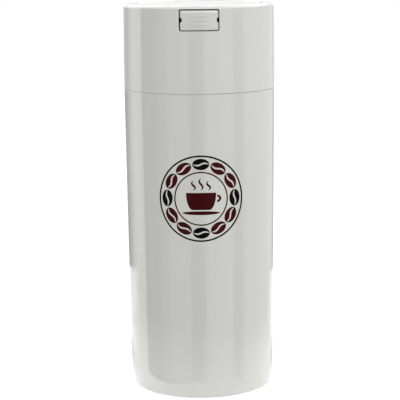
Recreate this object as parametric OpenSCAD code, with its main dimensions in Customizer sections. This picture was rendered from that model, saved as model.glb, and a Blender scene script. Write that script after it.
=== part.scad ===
// Push-button vacuum canister for coffee.
// A drafted cup carries a neck with a wiper ring. A deep lid slides down over the
// neck like a piston and drives the air out past a valve, which a button in the
// lid's side opens. Millimetres, +Z up, origin at the centre of the foot, button
// towards -Y.

/* [Canister] */
// Outer diameter at the seam, where the lid's rim meets the shoulder
seam_d = 101; // [80:1:140]
// Height of the cup from the table to its shoulder
body_h = 203; // [100:1:300]
// Draft of the cup's outer wall, in degrees
body_draft = 0.5; // [0:0.1:1]
// How far the shoulder stands inside the lid's rim
shoulder_step = 0.05; // [0:0.05:0.5]
// Rounding of the shoulder's outer edge
shoulder_round = 0.4; // [0.2:0.1:1]
// Draft of the cup's inside, in degrees
cup_draft = 0.2; // [0:0.1:0.5]
// Thickness of the cup's floor
floor_t = 3; // [2:0.5:6]
// Rounding between the cup's wall and floor, inside
floor_fillet = 4; // [1:0.5:8]
// Height of the foot ring under the floor
foot_h = 1.6; // [0.8:0.2:4]
// Width of the foot ring's flat face
foot_w = 3; // [2:0.5:6]
// Rounding of the outer edge at the table
base_round = 1; // [0.4:0.2:2]
// Diameter of the moulding gate's dimple under the floor
gate_d = 7; // [4:1:12]
// Depth of that dimple
gate_depth = 0.6; // [0.2:0.2:1]

/* [Neck] */
// Wall of the neck at its top
neck_wall = 2; // [1.8:0.1:3]
// Gap between the neck and the lid's bore, on the radius
neck_clearance = 0.6; // [0.3:0.1:1]
// Space between the neck's top and the underside of the valve pocket
neck_headroom = 2.5; // [1:0.5:6]
// Rounding of the neck's top edges
neck_round = 0.6; // [0.2:0.1:0.8]
// Height of the band at the neck's foot that centres the lid's rim
band_h = 3; // [1:0.5:6]
// Gap between that band and the lid's rim, on the radius
band_clearance = 0.15; // [0.1:0.05:0.3]

/* [Wiper ring] */
// Height of the ring's groove
groove_h = 4.6; // [3:0.2:8]
// Depth of the groove in the neck
groove_depth = 0.9; // [0.5:0.1:1.2]
// Wall of the neck above the groove
groove_drop = 3; // [2:0.5:8]
// Clearance of the ring in its groove, on the radius and at each side
ring_clearance = 0.05; // [0.02:0.01:0.1]
// Clearance of the ring's lips in the lid's bore, on the radius
lip_clearance = 0.05; // [0.02:0.01:0.1]
// Number of lips
lip_count = 2; // [1:1:3]
// Thickness of a lip at its tip
lip_tip = 0.4; // [0.2:0.1:0.6]
// Thickness of a lip at its root
lip_root = 1.1; // [0.7:0.1:1.4]

/* [Lid] */
// Height of the lid from its rim to its top
lid_h = 56; // [45:1:90]
// Wall of the lid's skirt
lid_wall = 1.5; // [1.2:0.1:3]
// Draft of the lid's skirt, in degrees
lid_draft = 0.5; // [0:0.1:1]
// Thickness of the lid's roof at its edge, and so the strip above the window
roof_t = 1.8; // [1.4:0.1:4]
// Rounding of the lid's top edge
top_round = 1; // [0.4:0.1:1.2]
// Rounding of the rim's outer edge
rim_round = 0.4; // [0.2:0.1:0.6]
// Lead-in chamfer inside the rim
rim_chamfer = 0.3; // [0.1:0.1:0.4]
// Distance from the lid's side to the sunk panel in its top
panel_margin = 7; // [4:1:20]
// Depth of that panel
panel_depth = 0.3; // [0.1:0.1:0.6]

/* [Button] */
// Width of the window in the lid's side
window_w = 26; // [18:0.5:36]
// Height of the window
window_h = 14.4; // [12:0.2:18]
// Corner radius of the window
window_round = 1.4; // [0.8:0.2:3]
// Gap between the button and the window, all round
button_gap = 0.7; // [0.4:0.1:1]
// Thickness of the button's plate at its middle
button_t = 3.4; // [3:0.2:5]
// Depth of the button's skirt behind its plate
button_skirt = 5; // [4:0.2:7]
// How far the button presses in
button_travel = 4; // [3:0.2:5]
// Gap that is left behind the skirt when the button is pressed home
stop_gap = 0.1; // [0.05:0.05:0.3]
// Wall of that skirt
button_wall = 1.2; // [0.8:0.1:1.6]
// Radius of the guide notch in each side of the button
notch_r = 1.85; // [1.2:0.05:2.4]
// Clearance of the pocket's guide rib in that notch
guide_clearance = 0.35; // [0.2:0.05:0.5]
// Distance of the guide rib's front end behind the back of the plate
guide_setback = 1; // [0.5:0.5:2]
// Number of grip ribs on the button's face
grip_count = 3; // [0:1:4]
// Length of a grip rib
grip_w = 13; // [6:1:16]
// Thickness of a grip rib
grip_t = 0.9; // [0.6:0.1:1.4]
// Distance between grip ribs
grip_pitch = 2.6; // [2:0.2:3]
// How far a grip rib stands out of the face
grip_proud = 0.25; // [0.1:0.05:0.4]

/* [Valve] */
// Wall of the pocket's sides and floor
pocket_wall = 1.4; // [1:0.1:2.4]
// Thickness of the pocket's rear wall, which the stem passes through
seat_wall = 2; // [1.6:0.2:4]
// Diameter of the bore in that wall
seat_bore_d = 4.6; // [3.8:0.2:5]
// Running clearance of the fluted stem in the bore, on the radius
stem_clearance = 0.1; // [0.05:0.01:0.1]
// Thickness of each of the stem's four blades
blade_t = 1.3; // [1:0.1:1.6]
// Diameter of the stem's tail, which is pushed into the button
tail_d = 3; // [2:0.1:3.6]
// Length of that tail
tail_l = 2.4; // [1.5:0.1:2.6]
// Clearance of the tail in the button's socket, on the radius
socket_clearance = 0.02; // [0.01:0.01:0.05]
// Thickness of the stem's head
head_t = 1.2; // [0.8:0.1:2]
// Thickness of the soft disc
disc_t = 1.4; // [1:0.1:2]
// Height of the sealing lip that the disc presses on the wall
lip_h = 0.4; // [0.2:0.1:0.8]
// Width of that lip
lip_w = 0.8; // [0.5:0.1:1.2]
// Distance from the bore to that lip
lip_margin = 0.7; // [0.4:0.1:1.2]
// How far the disc reaches past its lip
disc_overlap = 0.8; // [0.4:0.1:1.2]
// Height of the locating bosses inside the two ends of the spring
boss_h = 1; // [0.6:0.1:1.4]

/* [Spring] */
// Diameter of the spring's wire
wire_d = 0.6; // [0.4:0.05:0.8]
// Gap between the spring and what it runs in and on, on the radius
spring_clearance = 0.35; // [0.2:0.05:0.5]
// Gap at each end of the spring
spring_end_gap = 0.1; // [0.05:0.05:0.2]
// Number of open turns
open_turns = 4; // [3:1:5]
// Rise of each of the two nearly closed end turns
end_rise = 1.15; // [1.05:0.05:1.3]

/* [Hidden] */
$fn = 96;

// Cuts run past the faces that they open by this much
past = 1;
// Steps on each quarter round of a turned outline
round_steps = 6;

// Heights
total_h = body_h + lid_h;
roof_z = total_h - roof_t;
window_z = roof_z - window_h / 2;
pocket_under = roof_z - window_h - pocket_wall;
neck_top = pocket_under - neck_headroom;
floor_z = foot_h + floor_t;
groove_top = neck_top - groove_drop;
groove_bottom = groove_top - groove_h;

// Radii of the drafted walls at a height
seam_r = seam_d / 2;
function body_r(z) = seam_r - shoulder_step - (body_h - z) * tan(body_draft);
function lid_r(z) = seam_r - (z - body_h) * tan(lid_draft);
function bore_r(z) = lid_r(z) - lid_wall;
function neck_r(z) = bore_r(z) - neck_clearance;
function cup_r(z) = neck_r(neck_top) - neck_wall - (neck_top - z) * tan(cup_draft);
band_r = bore_r(body_h) - band_clearance;
foot_r = body_r(base_round) - base_round - foot_w;
groove_r = neck_r(groove_top) - groove_depth;

// Places along Y, from the button's face, which lies in the lid's side, to the stem's head
face_y = -lid_r(window_z);
plate_y = face_y + button_t;
rib_y = plate_y + guide_setback;
skirt_y = plate_y + button_skirt;
pocket_y = skirt_y + button_travel + stop_gap;
seat_y = pocket_y + seat_wall;
disc_y = seat_y + lip_h;
head_y = disc_y + disc_t;

// The button, the room inside its skirt, and what is centred in that room
button_w = window_w - 2 * button_gap;
button_h = window_h - 2 * button_gap;
button_round = window_round - button_gap / 2;
spring_r = button_h / 2 - button_wall - spring_clearance - wire_d / 2;
rings_per_turn = 8;
// Chords between the spring's rings reach further in than the rings do
boss_r = (spring_r - wire_d / 2) * cos(180 / rings_per_turn) - spring_clearance;
bore_rad = seat_bore_d / 2;
stem_r = bore_rad - stem_clearance;
post_r = tail_d / 2;
socket_r = post_r + socket_clearance;
lip_in = bore_rad + lip_margin;
lip_out = lip_in + lip_w;
disc_r = lip_out + disc_overlap;

// The spring's centre line: a nearly closed turn at each end, and open turns between
spring_l = pocket_y - plate_y - 2 * spring_end_gap - wire_d;
open_rise = (spring_l - 2 * end_rise) / open_turns;
spring_turns = open_turns + 2;
function spring_rise(t) =
    t < 1 ? end_rise * t :
    t < 1 + open_turns ? end_rise + open_rise * (t - 1) :
    end_rise + open_rise * open_turns + end_rise * (t - 1 - open_turns);
function spring_point(t, lift = 0, out = 0) =
    [(spring_r + out) * cos(360 * t), (spring_r + out) * sin(360 * t), wire_d / 2 + spring_rise(t) + lift];

// Points of an arc, from one angle to another
function arc(cx, cy, r, from, to) = [
    for (i = [0:round_steps])
        let (a = from + (to - from) * i / round_steps)
        [cx + r * cos(a), cy + r * sin(a)]
];

// Lays a child that stands on the XY plane along +Y, from the given place on the button's axis
module along_y(y) {
    translate([0, y, window_z]) rotate([-90, 0, 0]) children();
}

// A centred rectangle with round corners
module round_rect(w, h, r) {
    square([w - 2 * r, h], center = true);
    square([w, h - 2 * r], center = true);
    for (x = [-1, 1], y = [-1, 1]) translate([x * (w / 2 - r), y * (h / 2 - r)]) circle(r);
}

// A centred bar with round ends
module round_bar(w, h) {
    square([w - h, h], center = true);
    for (x = [-1, 1]) translate([x * (w - h) / 2, 0]) circle(h / 2);
}

// A pair of circles at the middle of the window's short sides
module side_circles(r) {
    for (x = [-1, 1]) translate([x * window_w / 2, 0]) circle(r);
}

// A ring along +Y
module ring_y(y, length, outer, inner) {
    along_y(y) linear_extrude(length) difference() {
        circle(outer);
        circle(inner);
    }
}

// The lid's drafted outside as a solid, larger by a given amount on the radius
module lid_cone(grow) {
    translate([0, 0, body_h])
        cylinder(r1 = lid_r(body_h) + grow, r2 = lid_r(total_h) + grow, h = lid_h);
}

// The cup: foot ring, shoulder, centring band, grooved neck and rounded floor
module body() {
    band_top = body_h + band_h;
    outline = concat(
        [[gate_d / 2, foot_h], [foot_r, foot_h], [foot_r, 0]],
        arc(body_r(base_round) - base_round, base_round, base_round, -90, 0),
        arc(body_r(body_h) - shoulder_round, body_h - shoulder_round, shoulder_round, 0, 90),
        [[band_r, body_h], [band_r, band_top - (band_r - neck_r(band_top))], [neck_r(band_top), band_top]],
        [[neck_r(groove_bottom), groove_bottom], [groove_r, groove_bottom]],
        [[groove_r, groove_top], [neck_r(groove_top), groove_top]],
        arc(neck_r(neck_top) - neck_round, neck_top - neck_round, neck_round, 0, 90),
        arc(cup_r(neck_top) + neck_round, neck_top - neck_round, neck_round, 90, 180),
        arc(cup_r(floor_z) - floor_fillet, floor_z + floor_fillet, floor_fillet, 0, -90),
        [[0, floor_z], [0, foot_h + gate_depth], [gate_d / 2, foot_h + gate_depth]]
    );
    color("gainsboro") rotate_extrude() polygon(outline);
}

// The wiper ring: a band that fills the groove, with lips that reach the lid's bore
module neck_seal() {
    low = groove_bottom + ring_clearance;
    high = groove_top - ring_clearance;
    inner = groove_r + ring_clearance;
    skin = neck_r(groove_top);
    step = (high - low) / lip_count;
    lips = [
        for (i = [0:lip_count - 1])
            let (z = low + step * (i + 0.5), tip = bore_r(z + lip_tip / 2) - lip_clearance)
            each [
                [skin, z - lip_root / 2], [tip, z - lip_tip / 2],
                [tip, z + lip_tip / 2], [skin, z + lip_root / 2]
            ]
    ];
    color("whitesmoke") rotate_extrude()
        polygon(concat([[inner, low], [skin, low]], lips, [[skin, high], [inner, high]]));
}

// The lid's turned skirt and roof, before the window is cut
module skirt_and_roof() {
    panel_r = lid_r(total_h) - panel_margin;
    outline = concat(
        [[bore_r(body_h) + rim_chamfer, body_h]],
        arc(lid_r(body_h) - rim_round, body_h + rim_round, rim_round, -90, 0),
        arc(lid_r(total_h) - top_round, total_h - top_round, top_round, 0, 90),
        [[panel_r, total_h], [panel_r - panel_depth, total_h - panel_depth], [0, total_h - panel_depth]],
        [[0, roof_z], [bore_r(roof_z), roof_z], [bore_r(body_h + rim_chamfer), body_h + rim_chamfer]]
    );
    rotate_extrude() polygon(outline);
}

// The block that the pocket is cut in. It ends inside the skirt and the roof
module pocket_block() {
    block_w = window_w + 2 * pocket_wall;
    block_top = roof_z + (roof_t - panel_depth) / 2;
    intersection() {
        translate([-block_w / 2, face_y, pocket_under])
            cube([block_w, seat_y - face_y, block_top - pocket_under]);
        lid_cone(-lid_wall / 2);
    }
}

// The window, and the pocket behind it with its two guide ribs
module pocket_cut() {
    along_y(face_y - past) linear_extrude(rib_y - face_y + past) round_rect(window_w, window_h, window_round);
    along_y(rib_y) linear_extrude(pocket_y - rib_y) difference() {
        round_rect(window_w, window_h, window_round);
        side_circles(notch_r - guide_clearance);
    }
}

// The lid: skirt, roof and window, and the pocket whose rear wall is the valve's seat
module lid_shell() {
    color("gainsboro") difference() {
        union() {
            difference() {
                union() {
                    skirt_and_roof();
                    pocket_block();
                }
                pocket_cut();
            }
            ring_y(pocket_y - boss_h, boss_h + seat_wall / 2, boss_r, bore_rad);
        }
        along_y(pocket_y - boss_h - past) cylinder(r = bore_rad, h = boss_h + seat_wall + 2 * past);
    }
}

// The button's outline face on, smaller by a given amount all round, with its guide notches
module button_outline(inset = 0) {
    least_round = 0.2;
    difference() {
        round_rect(button_w - 2 * inset, button_h - 2 * inset, max(button_round - inset, least_round));
        side_circles(notch_r + inset);
    }
}

// The button: a plate that follows the lid's side, with a skirt, grip ribs and the stem's socket
module push_button() {
    color("gainsboro") difference() {
        union() {
            intersection() {
                along_y(face_y - past) linear_extrude(skirt_y - face_y + past) button_outline();
                lid_cone(0);
            }
            intersection() {
                for (i = [0:1:grip_count - 1])
                    translate([0, 0, (i - (grip_count - 1) / 2) * grip_pitch])
                    along_y(face_y - past) linear_extrude(button_t) round_bar(grip_w, grip_t);
                lid_cone(grip_proud);
            }
        }
        along_y(plate_y) linear_extrude(button_skirt + past) button_outline(button_wall);
        along_y(plate_y - tail_l) cylinder(r = socket_r, h = tail_l + past);
    }
}

// The stem: a tail in the button's socket, a collar in the spring, a shank and a head. Four
// blades on the shank run in the bore, and air passes between them
module valve_stem() {
    blades_y = plate_y + boss_h;
    color("ivory") {
        along_y(plate_y - tail_l) cylinder(r = post_r, h = head_y - plate_y + tail_l);
        along_y(plate_y) cylinder(r = boss_r, h = boss_h);
        intersection() {
            along_y(blades_y) linear_extrude(disc_y - blades_y) {
                square([blade_t, 2 * stem_r + past], center = true);
                square([2 * stem_r + past, blade_t], center = true);
            }
            along_y(blades_y) cylinder(r = stem_r, h = disc_y - blades_y);
        }
        along_y(head_y) cylinder(r = lip_out, h = head_t);
    }
}

// The soft disc on the stem's shank, with the raised lip that seals round the bore
module valve_disc() {
    color("sienna") {
        ring_y(disc_y, disc_t, disc_r, socket_r);
        ring_y(seat_y, lip_h + disc_t / 2, lip_out, lip_in);
    }
}

// The spring, as one swept tube
module return_spring() {
    sides = 6;
    rings = rings_per_turn * spring_turns;
    corners = [
        for (i = [0:rings], k = [0:sides - 1])
            let (a = 360 * k / sides)
            spring_point(i / rings_per_turn, wire_d / 2 * sin(a), wire_d / 2 * cos(a))
    ];
    skin = [
        for (i = [0:rings - 1], k = [0:sides - 1])
            let (a = i * sides + k, b = i * sides + (k + 1) % sides)
            each [[a, b, b + sides], [a, b + sides, a + sides]]
    ];
    last = rings * sides;
    start_cap = [for (k = [1:sides - 2]) [0, k + 1, k]];
    end_cap = [for (k = [1:sides - 2]) [last, last + k, last + k + 1]];
    steps_between_turns = [
        for (i = [0:rings - rings_per_turn], k = [-2:2])
            let (j = i + rings_per_turn + k)
            if (j <= rings) norm(spring_point(j / rings_per_turn) - spring_point(i / rings_per_turn))
    ];
    echo(least_gap_between_turns = min(steps_between_turns) - wire_d);
    color("silver") along_y(plate_y + spring_end_gap)
        polyhedron(points = corners, faces = concat(skin, start_cap, end_cap));
}

body();
neck_seal();
lid_shell();
push_button();
valve_stem();
valve_disc();
return_spring();
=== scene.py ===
"""Coffee canister with a push-button air valve: its visible pieces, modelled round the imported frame."""

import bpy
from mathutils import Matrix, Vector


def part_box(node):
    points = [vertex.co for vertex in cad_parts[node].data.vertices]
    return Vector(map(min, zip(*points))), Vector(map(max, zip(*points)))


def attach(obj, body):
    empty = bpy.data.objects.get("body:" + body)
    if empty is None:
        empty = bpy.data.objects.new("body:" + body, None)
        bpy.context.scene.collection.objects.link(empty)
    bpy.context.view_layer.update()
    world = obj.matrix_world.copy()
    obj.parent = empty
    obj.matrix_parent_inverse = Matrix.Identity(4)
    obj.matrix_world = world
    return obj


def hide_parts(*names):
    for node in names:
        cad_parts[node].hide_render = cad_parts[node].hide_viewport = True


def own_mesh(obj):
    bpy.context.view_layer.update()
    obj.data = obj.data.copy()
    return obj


bl_info = {
    "name": "Coffee Canister",
    "version": (1, 0, 0),
    "blender": (4, 5, 0),
    "location": "View3D > Sidebar > Canister",
    "description": "Models a tall coffee canister: cup, lid, wiper ring, button, valve and print",
    "category": "Object",
}

import math
from functools import cache

import bmesh
import bpy
from bpy.props import FloatProperty, FloatVectorProperty, IntProperty, PointerProperty
from mathutils import Matrix, Vector

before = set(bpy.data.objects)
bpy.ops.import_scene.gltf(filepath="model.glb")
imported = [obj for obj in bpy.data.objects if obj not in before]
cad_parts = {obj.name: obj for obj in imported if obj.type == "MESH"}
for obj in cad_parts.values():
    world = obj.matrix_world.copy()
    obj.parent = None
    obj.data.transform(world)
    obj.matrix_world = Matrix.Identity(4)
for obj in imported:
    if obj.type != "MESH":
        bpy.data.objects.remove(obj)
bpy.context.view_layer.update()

# Places that the frame gives, in metres
CUP_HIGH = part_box("body")[1]
RING_LOW, RING_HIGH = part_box("neck_seal")
LID_LOW, LID_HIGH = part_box("lid_shell")
BUTTON_LOW, BUTTON_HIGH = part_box("push_button")
STEM_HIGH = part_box("valve_stem")[1]
DISC_LOW, DISC_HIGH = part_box("valve_disc")
SPRING_LOW, SPRING_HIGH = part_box("return_spring")
VALVE_Z = (BUTTON_LOW.z + BUTTON_HIGH.z) / 2

MM = 0.001
TURN, QUARTER = 2 * math.pi, math.pi / 2
# Segments round the canister, and round small pieces
ROUND_STEPS, SMALL_STEPS = 256, 64
# Steps in a corner of the large mouldings, of the window, of the stem and the disc, and in fine corners
BIG_CORNER, WINDOW_CORNER, SMALL_CORNER, FINE_CORNER = 6, 8, 4, 3
# Steps in the rounded edges of the button and the window, in a notch, and in a turn of the spring
BUTTON_EDGE, WINDOW_EDGE, NOTCH_STEPS, COIL_STEPS = 6, 4, 14, 24
WINDOW_STEP = 0.9 * MM
# The window's cutter starts wider than the rounded edge and meets it just beyond its start, in shares of it
CUTTER_FLARE, CUTTER_BEYOND = 1.5, 0.1
# Strips across the button's face, up its leaning edge, and across the print
FACE_SLICES, LEAN_SLICES, PRINT_SLICES = 30, 8, 48
# How far past its rounding the button's face still moves with it
FACE_MARGIN = 0.1 * MM
# Where the wiper ring's two lips are, as shares of its height
LIP_PLACES = (0.25, 0.75)
# Places of the painted shades among a piece's materials: the warm brown recess shade and the near-black deep
# shadow
RECESS_SHADE, DEEP_SHADOW = 1, 2
# The painted recess shade on the button's sides starts at this share of its lean
SHADE_START = 1 / 3
# A face looks sideways where its normal goes less than this along the button
SIDEWAYS = 0.5
# Shares of a grip rib's half thickness and height that are rounded
GRIP_END, GRIP_CROWN = 0.98, 0.8
# Corners closer than this are one
SAME_PLACE = 1e-6
# Edges that turn more than this stay sharp: on the large pieces, the button and the spring
SMOOTH_ANGLE, BUTTON_SMOOTH, WIRE_SMOOTH = (math.radians(angle) for angle in (28, 34, 50))
# The Mix node's sockets for colours
MIX_FIRST, MIX_SECOND, MIX_RESULT = 6, 7, 2


def length(name, description, default, soft_max=0.3):
    """A length that a user may change, in metres."""
    return FloatProperty(name=name, description=description, default=default, min=0.0,
                         soft_max=soft_max, precision=5, unit="LENGTH", subtype="DISTANCE")


def rotation(name, description, default):
    """An angle that a user may change, in radians."""
    return FloatProperty(name=name, description=description, default=default,
                         unit="ROTATION", subtype="ANGLE")


def colour(name, description, default):
    """A colour that a user may change."""
    return FloatVectorProperty(name=name, description=description, default=default, size=3,
                               min=0.0, max=1.0, subtype="COLOR")


class CupSizes(bpy.types.PropertyGroup):
    """Sizes of the cup and its wiper ring."""
    shoulder_radius: length("Shoulder radius", "Outside of the cup at the shoulder", CUP_HIGH.x)
    shoulder_height: length("Shoulder height", "From the table to the shoulder", LID_LOW.z)
    neck_top: length("Neck top", "From the table to the top of the neck", CUP_HIGH.z)
    draft: rotation("Draft", "Slope of the outer wall", math.radians(0.5))
    inner_draft: rotation("Inner draft", "Slope of the inner wall", math.radians(0.2))
    neck_wall: length("Neck wall", "Thickness of the neck", 2.0 * MM)
    neck_gap: length("Neck gap", "Between the neck and the lid's bore", 0.6 * MM)
    band_height: length("Band height", "Band that centres the lid's rim", 3.0 * MM)
    band_gap: length("Band gap", "Between that band and the lid's rim", 0.15 * MM)
    floor_thickness: length("Floor", "Thickness of the cup's floor", 3.0 * MM)
    floor_round: length("Floor rounding", "Between floor and wall, inside", 4.0 * MM)
    foot_height: length("Foot height", "Height of the foot ring", 1.6 * MM)
    foot_width: length("Foot width", "Width of the foot ring", 3.0 * MM)
    base_round: length("Base rounding", "Outer edge at the table", 1.0 * MM)
    shoulder_round: length("Shoulder rounding", "Outer edge of the shoulder", 0.15 * MM)
    fine_round: length("Fine rounding", "Small edges of the cup", 0.15 * MM)
    seam_gap: length("Seam gap", "Height of the shadow gap under the lid's rim", 0.3 * MM)
    seam_depth: length("Seam depth", "Depth of that gap", 0.65 * MM)
    gate_radius: length("Gate radius", "Dimple under the floor", 3.5 * MM)
    gate_depth: length("Gate depth", "Depth of that dimple", 0.6 * MM)
    groove_depth: length("Groove depth", "Depth of the wiper ring's groove", 0.9 * MM)
    ring_gap: length("Ring gap", "Round the wiper ring in its groove", 0.05 * MM)
    ring_round: length("Ring rounding", "Edges of the wiper ring", 0.12 * MM)
    lip_root: length("Lip root", "Thickness of a lip at its root", 1.1 * MM)
    lip_tip: length("Lip tip", "Thickness of a lip at its tip", 0.4 * MM)


class LidSizes(bpy.types.PropertyGroup):
    """Sizes of the lid, its window and the pocket behind it."""
    rim_radius: length("Rim radius", "Outside of the lid at its rim", LID_HIGH.x)
    rim_height: length("Rim height", "From the table to the rim", LID_LOW.z)
    top_height: length("Top height", "From the table to the top", LID_HIGH.z)
    draft: rotation("Draft", "Slope of the skirt", math.radians(0.5))
    wall: length("Wall", "Thickness of the skirt", 1.5 * MM)
    roof: length("Roof", "Thickness of the roof at its edge", 1.8 * MM)
    top_round: length("Top rounding", "Outer edge of the roof", 2.2 * MM)
    rim_round: length("Rim rounding", "Outer edge of the rim", 0.4 * MM)
    rim_chamfer: length("Rim chamfer", "Lead-in inside the rim", 0.3 * MM)
    chamfer_round: length("Chamfer rounding", "Edges of that lead-in", 0.05 * MM)
    roof_round: length("Roof rounding", "Corner under the roof", 0.4 * MM)
    panel_margin: length("Panel margin", "From the side to the sunk panel", 7.0 * MM)
    panel_depth: length("Panel depth", "Depth of the sunk panel", 0.3 * MM)
    panel_round: length("Panel rounding", "Edges of the sunk panel", 0.3 * MM)
    button_gap: length("Button gap", "Between button and window, on the left", 0.7 * MM)
    narrow_gap: length("Narrow gap", "Between button and window, elsewhere", 0.48 * MM)
    window_round: length("Window rounding", "Corners of the window", 1.4 * MM)
    window_edge: length("Window edge", "Rounding of the window's edge", 0.3 * MM)
    reveal: length("Reveal", "Depth of the window's bright edge", 2.0 * MM)
    pocket_wall: length("Pocket wall", "Sides and floor of the pocket", 1.4 * MM)
    seat_wall: length("Seat wall", "Rear wall of the pocket", 2.0 * MM)
    lip_height: length("Lip height", "The disc's sealing lip", 0.4 * MM)
    boss_height: length("Boss height", "Boss that centres the spring", 1.0 * MM)
    bore_radius: length("Bore radius", "Bore of the valve", 2.3 * MM)


class ButtonSizes(bpy.types.PropertyGroup):
    """Sizes of the button, the stem, the disc and the spring."""
    plate: length("Plate", "Thickness of the button's plate", 3.4 * MM)
    wall: length("Skirt wall", "Wall of the button's skirt", 1.2 * MM)
    edge_round: length("Edge rounding", "Rounding of the button's face", 1.05 * MM)
    skirt_edge: length("Skirt edge", "Bevel of the skirt's rear edge", 0.2 * MM)
    inner_corner: length("Inner corner", "Least rounding of the skirt's corners, inside", 0.2 * MM)
    lean: length("Lean", "How far the face falls back along its upper edge", 0.75 * MM)
    lean_height: length("Lean height", "Height of the strip that falls back", 2.6 * MM)
    notch_radius: length("Notch radius", "Guide notch in each side", 1.85 * MM)
    rib_gap: length("Rib gap", "Between a guide rib and its notch", 0.35 * MM)
    rib_setback: length("Rib setback", "From the plate's back to the guide rib", 1.0 * MM)
    grip_length: length("Grip length", "Length of a grip rib", 13.0 * MM)
    grip_thickness: length("Grip thickness", "Thickness of a grip rib", 0.9 * MM)
    grip_pitch: length("Grip pitch", "Distance between grip ribs", 2.6 * MM)
    grip_proud: length("Grip height", "How far a grip rib stands out", 0.24 * MM)
    grip_root: length("Grip root", "How deep a grip rib is rooted in the face", 0.3 * MM)
    grip_count: IntProperty(name="Grip ribs", description="Number of grip ribs", default=3, min=0, max=4)
    shank_radius: length("Shank radius", "Round core of the stem", 1.5 * MM)
    collar_inset: length("Collar inset", "How much smaller the stem's collar is than its head", 0.13 * MM)
    press_fit: length("Press fit", "Round the shank in the button and the disc", 0.02 * MM)
    stem_round: length("Stem rounding", "Edges of the stem", 0.12 * MM)
    blade: length("Blade", "Thickness of a blade on the stem", 1.3 * MM)
    blade_gap: length("Blade gap", "Between the blades and the bore", 0.1 * MM)
    tail: length("Tail", "Length of the stem's tail in the button", 2.4 * MM)
    disc_round: length("Disc rounding", "Edges of the soft disc", 0.15 * MM)
    lip_width: length("Lip width", "Width of the disc's lip", 0.8 * MM)
    lip_margin: length("Lip margin", "From the bore to the disc's lip", 0.7 * MM)
    wire: length("Wire", "Diameter of the spring's wire", 0.6 * MM)
    open_turns: IntProperty(name="Open turns", description="Turns of the spring", default=4, min=2, max=6)
    end_rise: length("End rise", "Rise of each end turn", 1.15 * MM)


class PrintSizes(bpy.types.PropertyGroup):
    """Sizes of the printed roundel of a cup in a ring of coffee beans."""
    centre_height: length("Height", "From the table to the roundel's centre", 135.0 * MM)
    radius: length("Radius", "Outside of the roundel", 28.5 * MM)
    rule: length("Rule", "Width of the thin rings", 1.1 * MM)
    bean_length: length("Bean length", "Length of a bean", 11.0 * MM)
    bean_width: length("Bean width", "Width of a bean", 7.4 * MM)
    bean_count: IntProperty(name="Beans", description="Number of beans", default=12, min=6, max=24)
    ink: length("Ink", "Thickness of the ink", 0.02 * MM)


class CanisterColours(bpy.types.PropertyGroup):
    """Colours of the pieces, as linear values, with two painted shades for the depths round the button."""
    cup: colour("Cup", "The cup's plastic", (0.523, 0.527, 0.498))
    lid: colour("Lid", "The lid's and the button's plastic", (0.531, 0.531, 0.515))
    # The recess colour is painted shade: a warm brown that stands in for the dark depth of the gap round the
    # button
    recess: colour("Recess", "Deep in the gap round the button", (0.21, 0.090, 0.030))
    # The rib colour is painted shadow: near-black for the guide ribs deep in the notches and for the gap's
    # left wall, the side in deeper shade
    rib: colour("Guide ribs", "In the button's notches", (0.012, 0.008, 0.006))
    silicone: colour("Silicone", "Wiper ring", (0.66, 0.65, 0.61))
    disc: colour("Disc", "Valve disc", (0.115, 0.048, 0.026))
    stem: colour("Stem", "Valve stem", (0.70, 0.68, 0.62))
    steel: colour("Steel", "Return spring", (0.56, 0.57, 0.58))
    maroon: colour("Maroon", "First ink", (0.036, 0.0022, 0.0030))
    black: colour("Black", "Second ink", (0.0022, 0.0018, 0.0021))


class StageValues(bpy.types.PropertyGroup):
    """Where the camera stands."""
    camera_distance: length("Distance", "From the canister's axis to the camera", 0.95595, 3.0)
    camera_height: length("Height", "From the table to the camera", 0.29798, 3.0)
    camera_azimuth: rotation("Azimuth", "Round the canister from its front", math.radians(-0.4))
    camera_pitch: rotation("Pitch", "Downward tilt", 0.1787)
    camera_roll: rotation("Roll", "Turn about the line of sight", -0.0104)
    camera_yaw: rotation("Yaw", "Turn about the upright", 0.0004)
    camera_lens: FloatProperty(name="Lens", description="Focal length in millimetres", default=127.86,
                               unit="CAMERA")


# Modelling helpers


def deselect_all():
    """Leaves edit mode and deselects everything, the frame's nodes too."""
    if bpy.context.object and bpy.context.object.mode != "OBJECT":
        bpy.ops.object.mode_set(mode="OBJECT")
    bpy.ops.object.select_all(action="DESELECT")


def choose(piece):
    """Makes one piece the only one selected, and active."""
    deselect_all()
    piece.select_set(True)
    bpy.context.view_layer.objects.active = piece


def edit(piece):
    """Opens a piece in edit mode with all of it selected."""
    choose(piece)
    bpy.ops.object.mode_set(mode="EDIT")
    bpy.ops.mesh.select_all(action="SELECT")


def done():
    """Back to object mode."""
    bpy.ops.object.mode_set(mode="OBJECT")


def select_where(piece, kind, test):
    """In edit mode, selects only the edges or faces for which the test holds."""
    bpy.ops.mesh.select_all(action="DESELECT")
    bpy.ops.mesh.select_mode(type={"edges": "EDGE", "faces": "FACE"}[kind])
    mesh = bmesh.from_edit_mesh(piece.data)
    for part in getattr(mesh, kind):
        if test(part):
            part.select_set(True)
    bmesh.update_edit_mesh(piece.data)


def named(name):
    """The object that was added last, under a name."""
    piece = bpy.context.object
    piece.name = name
    return piece


def apply_place(piece):
    """Puts a piece's place, turn and size into its mesh."""
    choose(piece)
    bpy.ops.object.transform_apply(location=True, rotation=True, scale=True)
    return piece


def modify(piece, kind, **settings):
    """Adds a modifier to a piece, sets it up and applies it."""
    choose(piece)
    bpy.ops.object.modifier_add(type=kind)
    modifier = piece.modifiers[-1]
    for name, value in settings.items():
        setattr(modifier, name, value)
    bpy.ops.object.modifier_apply(modifier=modifier.name)


def boolean(piece, cutter, operation):
    """Joins, cuts or intersects a piece with a cutter, which is then removed."""
    modify(piece, "BOOLEAN", operation=operation, solver="EXACT", object=cutter)
    bpy.data.objects.remove(cutter)


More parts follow.
